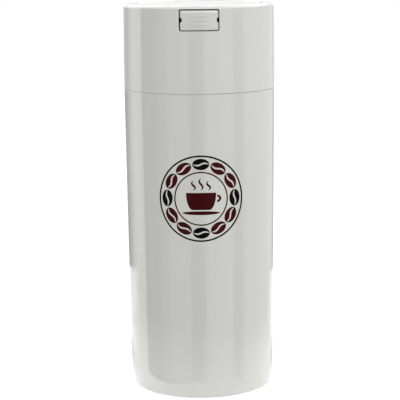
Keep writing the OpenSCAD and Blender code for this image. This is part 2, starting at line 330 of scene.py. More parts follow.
def smooth(piece, angle=SMOOTH_ANGLE):
    """Shades a piece smooth, apart from its sharp edges, with its large faces kept true."""
    choose(piece)
    bpy.ops.object.shade_smooth_by_angle(angle=angle)
    modify(piece, "WEIGHTED_NORMAL", keep_sharp=True)


def box_at(name, low, high):
    """A block between two corners."""
    low, high = Vector(low), Vector(high)
    bpy.ops.mesh.primitive_cube_add(size=1, location=(low + high) / 2, scale=high - low)
    return apply_place(named(name))


def rod_y(name, radius, low, high, x=0.0):
    """A rod along Y on the valve's height."""
    bpy.ops.mesh.primitive_cylinder_add(vertices=SMALL_STEPS, radius=radius, depth=high - low,
                                        location=(x, (low + high) / 2, VALVE_Z), rotation=(QUARTER, 0, 0))
    return apply_place(named(name))


def rounded(corners, steps):
    """An outline whose corners, given as (along, up, radius), are rounded with arcs."""
    points = []
    for i, (x, y, radius) in enumerate(corners):
        here = Vector((x, y))
        before = Vector(corners[i - 1][:2]) - here
        after = Vector(corners[(i + 1) % len(corners)][:2]) - here
        if radius <= 0 or before.length < SAME_PLACE or after.length < SAME_PLACE:
            points.append(here)
            continue
        before.normalize()
        after.normalize()
        half = before.angle(after) / 2
        reach = radius / math.tan(half)
        centre = here + (before + after).normalized() * radius / math.sin(half)
        first = here + before * reach - centre
        sweep = first.angle_signed(here + after * reach - centre)
        points += [centre + Matrix.Rotation(-sweep * k / steps, 2) @ first for k in range(steps + 1)]
    return points


def lathe(name, outline, along="Z", steps=ROUND_STEPS):
    """A solid turned from an outline of (radius, place along the axis) points."""
    upright = along == "Z"
    deselect_all()
    bpy.ops.mesh.primitive_circle_add(vertices=len(outline), radius=1, fill_type="NOTHING")
    piece = named(name)
    for vertex, (radius, place) in zip(piece.data.vertices, outline):
        vertex.co = (radius, 0, place) if upright else (radius, place, VALVE_Z)
    edit(piece)
    bpy.ops.mesh.spin(steps=steps, angle=TURN, center=(0, 0, 0 if upright else VALVE_Z),
                      axis=(0, 0, 1) if upright else (0, 1, 0))
    bpy.ops.mesh.select_all(action="SELECT")
    bpy.ops.mesh.remove_doubles(threshold=SAME_PLACE)
    bpy.ops.mesh.dissolve_degenerate(threshold=SAME_PLACE)
    bpy.ops.mesh.delete_loose()
    bpy.ops.mesh.select_all(action="SELECT")
    bpy.ops.mesh.normals_make_consistent(inside=False)
    done()
    return piece


def loft(name, loops):
    """A closed solid through loops of equally many points: a disc, extruded on from loop to loop."""
    deselect_all()
    bpy.ops.mesh.primitive_circle_add(vertices=len(loops[0]), radius=1, fill_type="NGON")
    piece = named(name)
    for vertex, place in zip(piece.data.vertices, loops[0]):
        vertex.co = place
    edit(piece)
    for before, after in zip(loops, loops[1:]):
        bpy.ops.mesh.extrude_region_move()
        mesh = bmesh.from_edit_mesh(piece.data)
        for vertex in [v for v in mesh.verts if v.select]:
            k = min(range(len(before)), key=lambda i: (vertex.co - Vector(before[i])).length_squared)
            vertex.co = after[k]
        bmesh.update_edit_mesh(piece.data)
    bpy.ops.mesh.select_all(action="SELECT")
    bpy.ops.mesh.normals_make_consistent(inside=False)
    done()
    return piece


def flat_shape(name, loops):
    """A flat sheet inside closed loops of (x, y) points."""
    deselect_all()
    bpy.ops.curve.primitive_bezier_circle_add()
    curve = named(name)
    curve.data.dimensions = "2D"
    curve.data.fill_mode = "BOTH"
    curve.data.splines.clear()
    for loop in loops:
        spline = curve.data.splines.new("POLY")
        spline.points.add(len(loop) - 1)
        for point, (x, y) in zip(spline.points, loop):
            point.co = (x, y, 0, 1)
        spline.use_cyclic_u = True
    choose(curve)
    bpy.ops.object.convert(target="MESH")
    return bpy.context.object


def slice_across(piece, low, high, count, axis=0):
    """Cuts a piece into strips between two places on an axis, so that it can follow a round wall."""
    edit(piece)
    for k in range(1, count):
        place, across = Vector(), Vector()
        place[axis], across[axis] = low + (high - low) * k / count, 1.0
        bpy.ops.mesh.select_all(action="SELECT")
        bpy.ops.mesh.bisect(plane_co=place, plane_no=across)
    done()


# Walls of the canister, as radii at a height


def cup_wall(height):
    """The cup's outside."""
    cup = bpy.context.scene.cup_sizes
    return cup.shoulder_radius - (cup.shoulder_height - height) * math.tan(cup.draft)


def lid_wall(height):
    """The lid's outside."""
    lid = bpy.context.scene.lid_sizes
    return lid.rim_radius - (height - lid.rim_height) * math.tan(lid.draft)


def lid_bore(height):
    """The lid's inside."""
    return lid_wall(height) - bpy.context.scene.lid_sizes.wall


def neck_wall(height):
    """The neck's outside."""
    return lid_bore(height) - bpy.context.scene.cup_sizes.neck_gap


def cup_inside(height):
    """The inside of the cup and its neck."""
    cup = bpy.context.scene.cup_sizes
    return neck_wall(cup.neck_top) - cup.neck_wall - (cup.neck_top - height) * math.tan(cup.inner_draft)


def lid_side(across, height):
    """Y of the lid's front at a place."""
    return -math.sqrt(lid_wall(height) ** 2 - across ** 2)


def press_on_lid(piece, flat_y, depth):
    """Moves what lies within a depth of a flat face, modelled at flat_y, onto the lid's round side."""
    for vertex in piece.data.vertices:
        if vertex.co.y < flat_y + depth:
            vertex.co.y += lid_side(vertex.co.x, vertex.co.z) - flat_y


def on_lid(outline, depth):
    """An outline placed at a depth behind the lid's round side, round the valve's height."""
    return [(x, depth + lid_side(x, VALVE_Z + z), VALVE_Z + z) for x, z in outline]


def at_depth(outline, y):
    """An outline placed upright at one depth, round the valve's height."""
    return [(x, y, VALVE_Z + z) for x, z in outline]


# Materials


class Nodes:
    """The nodes of a new material or world, and short ways to add to them."""

    def __init__(self, holder):
        holder.use_nodes = True
        self.tree = holder.node_tree
        self.shader = self.tree.nodes.get("Principled BSDF")

    def give(self, socket, value):
        """Gives an input a value, or joins another node's output to it."""
        if isinstance(value, bpy.types.NodeSocket):
            self.tree.links.new(value, socket)
        else:
            socket.default_value = value

    def add(self, kind, inputs=(), **settings):
        """Adds a node with its settings, and gives its inputs their values."""
        node = self.tree.nodes.new("ShaderNode" + kind)
        for name, value in settings.items():
            setattr(node, name, value)
        for name, value in dict(inputs).items():
            self.give(node.inputs[name], value)
        return node

    def show(self, node):
        """Makes a node the surface, in place of the usual shader."""
        self.tree.nodes.remove(self.shader)
        self.give(self.tree.nodes["Material Output"].inputs["Surface"], node.outputs[0])

    def place(self):
        """The place on the object."""
        return self.add("TexCoord").outputs["Object"]

    def noise(self, size, detail, upright=1.0):
        """Noise whose features are about so large, in metres, and longer upright with a scale below 1."""
        mapping = self.add("Mapping", {"Vector": self.place(), "Scale": (1, 1, upright)})
        shape = {"Vector": mapping.outputs["Vector"], "Scale": 1 / size, "Detail": detail}
        return self.add("TexNoise", shape).outputs["Fac"]

    def spread(self, value, low, high, start=0.3, end=0.7):
        """Maps a value from its own range to that between two levels."""
        limits = {"From Min": start, "From Max": end, "To Min": low, "To Max": high}
        return self.add("MapRange", {"Value": value, **limits}).outputs["Result"]

    def seen_directly(self):
        """A factor that is 1 for camera, glossy and transmission rays, and otherwise 0."""
        path = self.add("LightPath").outputs
        seen = path["Is Camera Ray"]
        for name in ("Is Glossy Ray", "Is Transmission Ray"):
            seen = self.add("Math", {0: seen, 1: path[name]}, operation="MAXIMUM").outputs[0]
        return seen


def paint(name):
    """One of the canister's colours."""
    return tuple(getattr(bpy.context.scene.canister_colours, name))


def shade(base, amount):
    """A colour made lighter or darker by an amount."""
    return (*(min(1.0, channel * (1 + amount)) for channel in base), 1)


def surface(name, base, tone, gloss, grain, upright=(1.0, 1.0), dust=(0.3, 0.7), settings=()):
    """A material whose tone, gloss and fine grain vary over it, each with the size and detail of its noise.

    tone goes on with the first and last change of tone, gloss with the least and most roughness, and grain
    with its strength and depth. Sizes and depths are in millimetres. upright draws out the tone and the
    grain, and dust is the part of the noise in which the tone changes.
    """
    material = bpy.data.materials.new(name)
    nodes = Nodes(material)
    size, detail, first, last = tone
    cloud = nodes.spread(nodes.noise(size * MM, detail, upright[0]), 0, 1, *dust)
    mix = nodes.add("Mix", data_type="RGBA")
    nodes.give(mix.inputs["Factor"], cloud)
    nodes.give(mix.inputs[MIX_FIRST], shade(base, first))
    nodes.give(mix.inputs[MIX_SECOND], shade(base, last))
    nodes.give(nodes.shader.inputs["Base Color"], mix.outputs[MIX_RESULT])
    size, detail, least, most = gloss
    nodes.give(nodes.shader.inputs["Roughness"], nodes.spread(nodes.noise(size * MM, detail), least, most))
    size, detail, strength, depth = grain
    height = nodes.noise(size * MM, detail, upright[1])
    bump = nodes.add("Bump", {"Strength": strength, "Distance": depth * MM, "Height": height})
    nodes.give(nodes.shader.inputs["Normal"], bump.outputs["Normal"])
    for socket, value in dict(settings).items():
        nodes.give(nodes.shader.inputs[socket], value)
    return material


def moulded_plastic(name, base):
    """Glossy moulded plastic: a slight cloudiness, faint handling marks and moulding waviness."""
    return surface(name, base, tone=(30, 3, -0.008, 0.008), gloss=(12, 4, 0.06, 0.10),
                   grain=(9, 1, 0.25, 0.02), upright=(0.4, 0.35), settings={"IOR": 1.5})


@cache
def cup_plastic():
    """The cup's plastic."""
    return moulded_plastic("cup_plastic", paint("cup"))


@cache
def lid_plastic():
    """The lid's and the button's plastic, a shade less yellow than the cup's."""
    return moulded_plastic("lid_plastic", paint("lid"))


def painted_shade_wall(name, base):
    """A dull wall whose dark colour is painted shade for the depth, its tone uneven at random."""
    return surface(name, base, tone=(1.5, 4, -0.2, 0.2), gloss=(2, 3, 0.45, 0.6),
                   grain=(0.6, 2, 0.2, 0.02), settings={"Specular IOR Level": 0.1})


@cache
def recess_lining():
    """Painted shade, warm brown, on the walls of the gap round the button."""
    return painted_shade_wall("recess_lining", paint("recess"))


@cache
def rib_lining():
    """Near-black painted shadow on the guide ribs in the notches and on the gap's left wall."""
    return painted_shade_wall("rib_lining", paint("rib"))


@cache
def silicone():
    """Soft silicone with a little dust on it."""
    return surface("silicone", paint("silicone"), tone=(1.2, 5, 0.0, -0.10), gloss=(2, 4, 0.34, 0.5),
                   grain=(0.5, 3, 0.3, 0.03), dust=(0.45, 0.75))


@cache
def disc_rubber():
    """Brown rubber."""
    return surface("disc_rubber", paint("disc"), tone=(1.5, 5, -0.2, 0.25), gloss=(1, 4, 0.5, 0.68),
                   grain=(0.3, 3, 0.35, 0.03))


@cache
def stem_plastic():
    """The stem's unpainted engineering plastic, with a satin face."""
    return surface("stem_plastic", paint("stem"), tone=(4, 3, -0.03, 0.03), gloss=(1.5, 4, 0.26, 0.38),
                   grain=(0.4, 2, 0.2, 0.02))


@cache
def spring_steel():
    """Drawn spring wire."""
    return surface("spring_steel", paint("steel"), tone=(0.8, 4, -0.15, 0.1), gloss=(0.6, 4, 0.22, 0.38),
                   grain=(0.25, 3, 0.2, 0.01), settings={"Metallic": 1.0})


def ink(name, base):
    """Screen-printed ink: a satin film with a slightly uneven tone."""
    return surface(name, base, tone=(1.6, 5, -0.12, 0.22), gloss=(1, 4, 0.2, 0.32),
                   grain=(0.35, 3, 0.12, 0.01), settings={"IOR": 1.3, "Specular IOR Level": 0.12})


@cache
def maroon_ink():
    """The first ink."""
    return ink("maroon_ink", paint("maroon"))


@cache
def black_ink():
    """The second ink."""
    return ink("black_ink", paint("black"))


def finish_piece(piece, materials, body, slot, *nodes):
    """Gives a piece its materials and the body that it rides on, and hides the nodes it stands for. The slot
    is not used.
    """
    piece.data.materials.clear()
    for material in materials:
        piece.data.materials.append(material)
    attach(piece, body)
    if nodes:
        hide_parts(*nodes)


# Pieces


class CANISTER_OT_cup(bpy.types.Operator):
    """Turn the cup with its foot, shoulder, neck and groove"""
    bl_idname = "canister.cup"
    bl_label = "Cup"

    def execute(self, context):
        cup = context.scene.cup_sizes
        foot, floor = cup.foot_height, cup.foot_height + cup.floor_thickness
        outer = cup_wall(0)
        band = lid_bore(cup.shoulder_height) - cup.band_gap
        band_top = cup.shoulder_height + cup.band_height
        groove_low, groove_high = RING_LOW.z - cup.ring_gap, RING_HIGH.z + cup.ring_gap
        groove = neck_wall(groove_high) - cup.groove_depth
        small = cup.fine_round
        seam = cup.shoulder_height - cup.seam_gap
        outline = rounded([
            (0, foot + cup.gate_depth, 0),
            (cup.gate_radius, foot + cup.gate_depth, small),
            (cup.gate_radius, foot, small),
            (outer - cup.base_round - cup.foot_width, foot, 2 * small),
            (outer - cup.base_round - cup.foot_width, 0, small),
            (outer, 0, cup.base_round),
            (cup_wall(seam), seam, cup.shoulder_round),
            (cup.shoulder_radius - cup.seam_depth, seam, 0),
            (cup.shoulder_radius - cup.seam_depth, cup.shoulder_height, small / 2),
            (band, cup.shoulder_height, small / 2),
            (band, band_top - (band - neck_wall(band_top)), small),
            (neck_wall(band_top), band_top, small),
            (neck_wall(groove_low), groove_low, small / 2),
            (groove, groove_low, 0),
            (groove, groove_high, 0),
            (neck_wall(groove_high), groove_high, small / 2),
            (neck_wall(cup.neck_top), cup.neck_top, 4 * small),
            (cup_inside(cup.neck_top), cup.neck_top, 4 * small),
            (cup_inside(floor), floor, cup.floor_round),
            (0, floor, 0),
        ], BIG_CORNER)
        piece = lathe("cup_moulding", outline)
        smooth(piece)
        finish_piece(piece, [cup_plastic()], "container", "body_plastic", "body")
        return {"FINISHED"}


class CANISTER_OT_wiper_ring(bpy.types.Operator):
    """Turn the soft ring with its two lips"""
    bl_idname = "canister.wiper_ring"
    bl_label = "Wiper ring"

    def execute(self, context):
        cup = context.scene.cup_sizes
        low, high = RING_LOW.z, RING_HIGH.z
        inner = neck_wall(high + cup.ring_gap) - cup.groove_depth + cup.ring_gap
        skin = neck_wall(high + cup.ring_gap)
        corner = cup.ring_round
        corners = [(inner, low, corner), (skin, low, corner)]
        for share in LIP_PLACES:
            middle = low + (high - low) * share
            tip = RING_HIGH.x - (middle - low) * math.tan(context.scene.lid_sizes.draft)
            corners += [
                (skin, middle - cup.lip_root / 2, corner),
                (tip, middle - cup.lip_tip / 2, corner),
                (tip, middle + cup.lip_tip / 2, corner),
                (skin, middle + cup.lip_root / 2, corner),
            ]
        corners += [(skin, high, corner), (inner, high, corner)]
        piece = lathe("wiper_ring", rounded(corners, FINE_CORNER))
        smooth(piece)
        finish_piece(piece, [silicone()], "seal", "seal_silicone", "neck_seal")
        return {"FINISHED"}


def window_outline(grow):
    """The window's outline as (across, up) points, larger all round by an amount."""
    lid = bpy.context.scene.lid_sizes
    left, right = BUTTON_LOW.x - lid.button_gap - grow, BUTTON_HIGH.x + lid.narrow_gap + grow
    half_h = (BUTTON_HIGH.z - BUTTON_LOW.z) / 2 + lid.narrow_gap + grow
    corner = lid.window_round + grow
    places = (left, -half_h), (right, -half_h), (right, half_h), (left, half_h)
    return split_long(rounded([(x, y, corner) for x, y in places], WINDOW_CORNER), WINDOW_STEP)


def button_outline(inset):
    """The button's outline as (across, up) points, smaller all round by an amount, with its two notches."""
    lid, button = bpy.context.scene.lid_sizes, bpy.context.scene.button_sizes
    half_w, half_h = BUTTON_HIGH.x - inset, (BUTTON_HIGH.z - BUTTON_LOW.z) / 2 - inset
    corner = max(button.inner_corner, lid.window_round - lid.button_gap / 2 - inset)
    centre, radius = BUTTON_HIGH.x + lid.button_gap, button.notch_radius + inset
    lip = math.sqrt(radius ** 2 - (centre - half_w) ** 2)
    reach = math.atan2(lip, centre - half_w)
    angles = [reach * (1 - 2 * k / NOTCH_STEPS) for k in range(NOTCH_STEPS + 1)]
    notch = [(centre - radius * math.cos(a), radius * math.sin(a)) for a in reversed(angles)]
    low = rounded([(0, -half_h, 0), (half_w, -half_h, corner), (half_w, 0, 0)], BIG_CORNER)[1:-1]
    high = rounded([(half_w, 0, 0), (half_w, half_h, corner), (0, half_h, 0)], BIG_CORNER)[1:-1]
    right = [tuple(p) for p in low + notch + high]
    return right + [(-x, -y) for x, y in right]


def split_long(points, step):
    """An outline whose long straight sides are split into equal parts no longer than a step."""
    split = []
    for here, after in zip(points, points[1:] + points[:1]):
        count = max(1, math.ceil((after - here).length / step))
        split += [here.lerp(after, k / count) for k in range(count)]
    return split


class CANISTER_OT_lid(bpy.types.Operator):
    """Turn the lid, and cut its window and the pocket with the valve's bore"""
    bl_idname = "canister.lid"
    bl_label = "Lid"

    def execute(self, context):
        lid, button = context.scene.lid_sizes, context.scene.button_sizes
        roof = lid.top_height - lid.roof
        panel = lid_wall(lid.top_height) - lid.panel_margin
        outline = rounded([
            (lid_bore(lid.rim_height) + lid.rim_chamfer, lid.rim_height, lid.chamfer_round),
            (lid.rim_radius, lid.rim_height, lid.rim_round),
            (lid_wall(lid.top_height), lid.top_height, lid.top_round),
            (panel, lid.top_height, lid.panel_round),
            (panel - lid.panel_depth, lid.top_height - lid.panel_depth, lid.panel_round),
            (0, lid.top_height - lid.panel_depth, 0),
            (0, roof, 0),
            (lid_bore(roof), roof, lid.roof_round),
            (lid_bore(lid.rim_height + lid.rim_chamfer), lid.rim_height + lid.rim_chamfer, lid.chamfer_round),
        ], BIG_CORNER)
        piece = lathe("lid_moulding", outline)
        seat = DISC_LOW.y
        pocket = seat - lid.seat_wall
        face = -lid_wall(VALVE_Z)
        self.add_pocket_block(piece, seat, face)
        self.cut_pocket(piece, pocket, face, button)
        self.bore_seat(piece, pocket, seat)
        smooth(piece)
        finish_piece(piece, [lid_plastic(), recess_lining(), rib_lining()], "lid", "lid_plastic", "lid_shell")
        self.paint_recess_shade(piece, pocket)
        return {"FINISHED"}

    def paint_recess_shade(self, piece, pocket):
        """Paints shade on the pocket's walls behind the window's bright edge: near-black shadow on the guide
        ribs and the left wall, warm brown elsewhere.
        """
        lid, button = bpy.context.scene.lid_sizes, bpy.context.scene.button_sizes
        half_w = BUTTON_HIGH.x + lid.button_gap + SAME_PLACE
        half_h = (BUTTON_HIGH.z - BUTTON_LOW.z) / 2 + lid.button_gap + SAME_PLACE
        for face in piece.data.polygons:
            x, y, z = face.center
            depth = y - lid_side(x, z)
            inside = abs(x) < half_w and abs(z - VALVE_Z) < half_h
            if inside and lid.reveal < depth and y < pocket + SAME_PLACE:
                rib = math.hypot(half_w - abs(x), z - VALVE_Z) < button.notch_radius
                # Painted shadow: the guide ribs and the gap's left wall near-black, the other deep walls the
                # warm brown painted shade
                face.material_index = DEEP_SHADOW if rib or x < BUTTON_LOW.x else RECESS_SHADE

    def add_pocket_block(self, piece, seat, face):
        """Adds the block of plastic behind the window, ending inside the skirt and the roof."""
        lid = bpy.context.scene.lid_sizes
        half_w = BUTTON_HIGH.x + lid.button_gap + lid.pocket_wall
        under = BUTTON_LOW.z - lid.button_gap - lid.pocket_wall
        top = lid.top_height - (lid.roof + lid.panel_depth) / 2
        block = box_at("block", (-half_w, face, under), (half_w, seat, top))
        height = lid.top_height - lid.rim_height
        bpy.ops.mesh.primitive_cone_add(
            vertices=ROUND_STEPS, depth=height, location=(0, 0, lid.rim_height + height / 2),
            radius1=lid.rim_radius - lid.wall / 2, radius2=lid_wall(lid.top_height) - lid.wall / 2)
        boolean(block, apply_place(named("cone")), "INTERSECT")
        boolean(piece, block, "UNION")

    def cut_pocket(self, piece, pocket, face, button):
        """Cuts the window, its edge rounded over along the skirt, and the pocket with its two guide ribs."""
        lid = bpy.context.scene.lid_sizes
        soft = lid.window_edge
        beyond = soft * CUTTER_BEYOND
        loops = [on_lid(window_outline(soft * CUTTER_FLARE), -MM)]
        loops.append(on_lid(window_outline(soft + beyond), -beyond))
        for k in range(1, WINDOW_EDGE + 1):
            angle = QUARTER * k / WINDOW_EDGE
            loops.append(on_lid(window_outline(soft * (1 - math.sin(angle))), soft * (1 - math.cos(angle))))
        loops += [on_lid(window_outline(0), lid.reveal), at_depth(window_outline(0), pocket)]
        cutter = loft("cutter", loops)
        half_w = BUTTON_HIGH.x + lid.button_gap
        for side in (-1, 1):
            rib = rod_y("rib", button.notch_radius - button.rib_gap,
                        face + button.plate + button.rib_setback, pocket + MM, side * half_w)
            boolean(cutter, rib, "DIFFERENCE")
        boolean(piece, cutter, "DIFFERENCE")

    def bore_seat(self, piece, pocket, seat):
        """Adds the boss that centres the spring and bores the valve's seat."""
        lid, button = bpy.context.scene.lid_sizes, bpy.context.scene.button_sizes
        boss = rod_y("boss", STEM_HIGH.x - button.collar_inset,
                     pocket - lid.boss_height, pocket + lid.seat_wall / 2)
        boolean(piece, boss, "UNION")
        bore = rod_y("bore", lid.bore_radius, pocket - 2 * lid.boss_height, seat + MM)
        boolean(piece, bore, "DIFFERENCE")


class CANISTER_OT_button(bpy.types.Operator):
    """Model the button with its rounded face, notches, grip ribs and skirt"""
    bl_idname = "canister.button"
    bl_label = "Button"

    def execute(self, context):
        button = context.scene.button_sizes
        face = -lid_wall(VALVE_Z)
        back = BUTTON_HIGH.y
        soft = button.edge_round
        loops = []
        for k in reversed(range(BUTTON_EDGE + 1)):
            angle = QUARTER * k / BUTTON_EDGE
            place, inset = face + soft * (1 - math.sin(angle)), soft * (1 - math.cos(angle))
            loops.append(at_depth(button_outline(inset), place))
        loops.append(at_depth(button_outline(0), back - button.skirt_edge))
        loops.append(at_depth(button_outline(button.skirt_edge), back))
        piece = loft("push_button_moulding", loops)
        self.hollow(piece, back, face)
        self.add_grips(piece, face)
        slice_across(piece, BUTTON_LOW.x, BUTTON_HIGH.x, FACE_SLICES)
        slice_across(piece, BUTTON_HIGH.z - button.lean_height, BUTTON_HIGH.z - soft, LEAN_SLICES, axis=2)
        for vertex in piece.data.vertices:
            rise = (vertex.co.z - BUTTON_HIGH.z) / button.lean_height + 1
            if rise > 0 and vertex.co.y < face + soft + FACE_MARGIN:
                vertex.co.y += button.lean * rise ** 2
        press_on_lid(piece, face, soft + button.lean + FACE_MARGIN)
        smooth(piece, BUTTON_SMOOTH)
        finish_piece(piece, [lid_plastic(), recess_lining()], "button", "button_plastic", "push_button")
        # Painted shade: the button's sides, deeper than part of its lean, take the warm brown recess shade
        for side in piece.data.polygons:
            x, y, z = side.center
            depth = y - lid_side(x, z)
            if abs(side.normal.y) < SIDEWAYS and depth > soft + button.lean * SHADE_START:
                side.material_index = RECESS_SHADE
        return {"FINISHED"}

    def hollow(self, piece, back, face):
        """Sinks the room for the spring into the button's back, and the socket for the stem."""
        button = bpy.context.scene.button_sizes
        floor = face + button.plate
        room = loft("room", [at_depth(button_outline(button.wall), y) for y in (floor, back + MM)])
        boolean(piece, room, "DIFFERENCE")
        socket = rod_y("socket", button.shank_radius + button.press_fit, floor - button.tail, floor + MM)
        boolean(piece, socket, "DIFFERENCE")

    def add_grips(self, piece, face):
        """Adds the raised ribs to the button's face."""
        button = bpy.context.scene.button_sizes
        half_l, half_t = button.grip_length / 2, button.grip_thickness / 2
        for k in range(button.grip_count):
            z = VALVE_Z + (k - (button.grip_count - 1) / 2) * button.grip_pitch
            rib = box_at("rib", (-half_l, face - button.grip_proud, z - half_t),
                         (half_l, face + button.grip_root, z + half_t))
            edit(rib)
            select_where(rib, "edges", lambda e: abs(e.verts[0].co.y - e.verts[1].co.y) > SAME_PLACE)
            bpy.ops.mesh.bevel(offset=half_t * GRIP_END, segments=BIG_CORNER, affect="EDGES")
            select_where(rib, "edges", lambda e: all(v.co.y < face - button.grip_proud / 2 for v in e.verts))
            bpy.ops.mesh.bevel(offset=button.grip_proud * GRIP_CROWN, segments=FINE_CORNER, affect="EDGES")
            done()
            boolean(piece, rib, "UNION")


class CANISTER_OT_stem(bpy.types.Operator):
    """Turn the valve's stem and give it four blades"""
    bl_idname = "canister.stem"
    bl_label = "Valve stem"

    def execute(self, context):
        button, lid = context.scene.button_sizes, context.scene.lid_sizes
        plate = -lid_wall(VALVE_Z) + button.plate
        head = DISC_HIGH.y
        collar = STEM_HIGH.x - button.collar_inset
        small = button.stem_round
        piece = lathe("stem_moulding", rounded([
            (0, plate - button.tail, 0),
            (button.shank_radius, plate - button.tail, 2 * small),
            (button.shank_radius, plate, 0),
            (collar, plate, small),
            (collar, plate + lid.boss_height, small),
            (button.shank_radius, plate + lid.boss_height, small),
            (button.shank_radius, head, 0),
            (STEM_HIGH.x, head, small),
            (STEM_HIGH.x, STEM_HIGH.y, 2 * small),
            (0, STEM_HIGH.y, 0),
        ], SMALL_CORNER), "Y", SMALL_STEPS)
        low, high = plate + lid.boss_height / 2, DISC_LOW.y + lid.lip_height
        reach = lid.bore_radius - button.blade_gap
        for size_x, size_z in ((button.blade / 2, reach), (reach, button.blade / 2)):
            blade = box_at("blade", (-size_x, low, VALVE_Z - size_z), (size_x, high, VALVE_Z + size_z))
            boolean(blade, rod_y("bore_fit", reach, low - MM, high + MM), "INTERSECT")
            boolean(piece, blade, "UNION")
        smooth(piece)
        finish_piece(piece, [stem_plastic()], "button", "stem_plastic", "valve_stem")
        return {"FINISHED"}


class CANISTER_OT_disc(bpy.types.Operator):
    """Turn the soft disc with its sealing lip"""
    bl_idname = "canister.disc"
    bl_label = "Valve disc"

    def execute(self, context):
        button, lid = context.scene.button_sizes, context.scene.lid_sizes
        seat, face = DISC_LOW.y, DISC_LOW.y + lid.lip_height
        lip_in = lid.bore_radius + button.lip_margin
        lip_out = lip_in + button.lip_width
        small = button.disc_round
        inner = button.shank_radius + button.press_fit
        piece = lathe("disc_moulding", rounded([
            (inner, face, small / 2),
            (lip_in, face, small),
            (lip_in, seat, small),
            (lip_out, seat, small),
            (lip_out, face, small),
            (DISC_HIGH.x, face, 2 * small),
            (DISC_HIGH.x, DISC_HIGH.y, 2 * small),
            (inner, DISC_HIGH.y, small / 2),
        ], SMALL_CORNER), "Y", SMALL_STEPS)
        smooth(piece)
        finish_piece(piece, [disc_rubber()], "button", "disc_silicone", "valve_disc")
        return {"FINISHED"}


class CANISTER_OT_spring(bpy.types.Operator):
    """Wind the return spring"""
    bl_idname = "canister.spring"
    bl_label = "Return spring"

    def execute(self, context):
        button, lid = context.scene.button_sizes, context.scene.lid_sizes
        wire = button.wire / 2
        radius = SPRING_HIGH.x - wire
        start, end = SPRING_LOW.y + wire, SPRING_HIGH.y - wire
        open_rise = (end - start - 2 * button.end_rise) / button.open_turns
        deselect_all()
        bpy.ops.curve.primitive_nurbs_path_add()
        curve = named("return_spring_wire")
        curve.data.splines.clear()
        spline = curve.data.splines.new("POLY")
        # The open turns, and one closed turn at each end
        spline.points.add(COIL_STEPS * (button.open_turns + 2))
        for k, point in enumerate(spline.points):
            turn = k / COIL_STEPS
            rise = button.end_rise * min(turn, 1) + open_rise * min(max(turn - 1, 0), button.open_turns)
            rise += button.end_rise * max(turn - 1 - button.open_turns, 0)
            x, z = radius * math.cos(TURN * turn), VALVE_Z - radius * math.sin(TURN * turn)
            point.co = (x, start + rise, z, 1)
        curve.data.bevel_depth = wire
        curve.data.bevel_resolution = FINE_CORNER
        curve.data.use_fill_caps = True
        choose(curve)
        bpy.ops.object.convert(target="MESH")
        piece = bpy.context.object
        edit(piece)
        bpy.ops.mesh.remove_doubles(threshold=SAME_PLACE)
        bpy.ops.mesh.normals_make_consistent(inside=False)
        done()
        smooth(piece, WIRE_SMOOTH)
        finish_piece(piece, [spring_steel()], "lid", "spring_steel", "return_spring")
        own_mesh(piece)
        return {"FINISHED"}


# The print, drawn flat about its own centre and then laid on the cup

# Every third bean is black. The inner ring is thinner, the cup's size goes by the inner ring's radius, and
# the film takes up most of the ink's thickness
BLACK_EVERY, THIN_RULE, CUP_SHARE, FILM_SHARE = 3, 0.8, 1.38, 0.9
# A bean's groove: its reach by the bean's length, and its bend and half widths by the bean's width
GROOVE_REACH, GROOVE_BEND, GROOVE_HALF, GROOVE_LEAST = 0.46, 0.10, 0.075, 0.004
# The cup's bowl, by the cup's size: half widths at the rim and the foot, height, and the foot's place
RIM_HALF, FOOT_HALF, BOWL_TALL, BOWL_BASE = 0.40, 0.22, 0.46, -0.30
# Its handle: the place by the bowl's rim and height, then the half width, half height and half angle of its
# outer arc and of its inner arc, which runs back
HANDLE_PLACE, OUTER_ARC, INNER_ARC = (0.93, 0.66), (0.17, 0.115, 68), (0.105, 0.062, -62)
# Its saucer: how far it lies under the foot, half width and half height
SAUCER_DROP, SAUCER_WIDE, SAUCER_HIGH = 0.085, 0.50, 0.05
# Its steam: distance between wisps, gap over the rim, sway, and heights of the middle and the outer wisps
STEAM_PITCH, STEAM_GAP, STEAM_SWAY, STEAM_MIDDLE, STEAM_OUTER = 0.2, 0.07, 0.045, 0.32, 0.25
# A wisp's most and least width, and where its width starts on a half wave and how much of that it covers
WISP_WIDTH, WISP_LEAST, WISP_START, WISP_SHARE = 0.05, 0.004, 0.06, 0.9
# Steps in the rings, the beans, the bowl, the handle and the wisps, and the saucer
RING_STEPS, BEAN_STEPS, BOWL_STEPS, BAND_STEPS, SAUCER_STEPS = 144, 40, 16, 24, 48


def arc(centre, half_wide, half_high, start, end, steps):
    """Points along an oval, from one angle to another in degrees."""
    x, y = centre
    angles = [math.radians(start + (end - start) * k / steps) for k in range(steps + 1)]
    return [(x + half_wide * math.cos(a), y + half_high * math.sin(a)) for a in angles]


def oval(centre, half_wide, half_high, steps):
    """The points of a whole oval."""
    return arc(centre, half_wide, half_high, 0, 360, steps)[:-1]


def rule_loops(radius, width):
    """A thin ring: its outside and its inside."""
    return [oval((0, 0), edge, edge, RING_STEPS) for edge in (radius, radius - width)]


def turned(loop, angle, x, y):
    """A loop turned and then moved."""
    c, s = math.cos(angle), math.sin(angle)
    return [(x + c * u - s * v, y + s * u + c * v) for u, v in loop]


def stroke(points, widths):
    """The outline of a stroke along points, with a width at each."""
    left, right = [], []
    for k, (x, y) in enumerate(points):
        before, after = points[max(k - 1, 0)], points[min(k + 1, len(points) - 1)]
        along = Vector((after[0] - before[0], after[1] - before[1])).normalized()
        left.append((x - along.y * widths[k] / 2, y + along.x * widths[k] / 2))
        right.append((x + along.y * widths[k] / 2, y - along.x * widths[k] / 2))
    return left + right[::-1]


